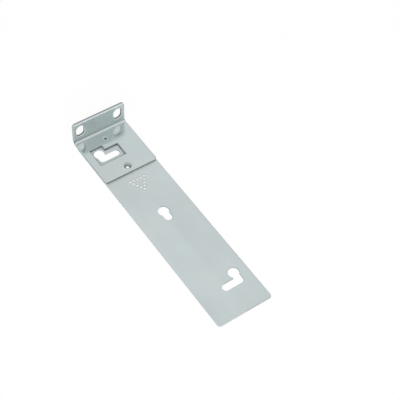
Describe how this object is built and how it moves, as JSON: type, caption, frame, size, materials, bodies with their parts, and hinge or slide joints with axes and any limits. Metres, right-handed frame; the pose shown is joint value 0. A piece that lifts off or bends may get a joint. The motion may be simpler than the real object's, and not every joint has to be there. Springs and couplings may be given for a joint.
{
  "type": "rack mount ear bracket",
  "caption": "Left-hand rack ear: a bent, slotted flange on a long thin strip with keyholes that hang on studs at the side of rack equipment.",
  "frame": {"origin": "middle of the strip's underside, below the middle of the bounding box", "axes": "+X from the flange, at the front of the rack, to the strip's free end at the rear; +Y up the rack; +Z away from the equipment's side, the way the flange stands"},
  "size_m": [0.187, 0.0436, 0.0213],
  "materials": {
    "zinc_sheet": "zinc-plated, smooth, softly glossy",
    "zinc_screw": "zinc-plated, glossy"
  },
  "bodies": {
    "root": {"ear_plate": "zinc_sheet", "extension_strip": "zinc_sheet", "countersunk_screw": "zinc_screw"}
  },
  "joints": []
}
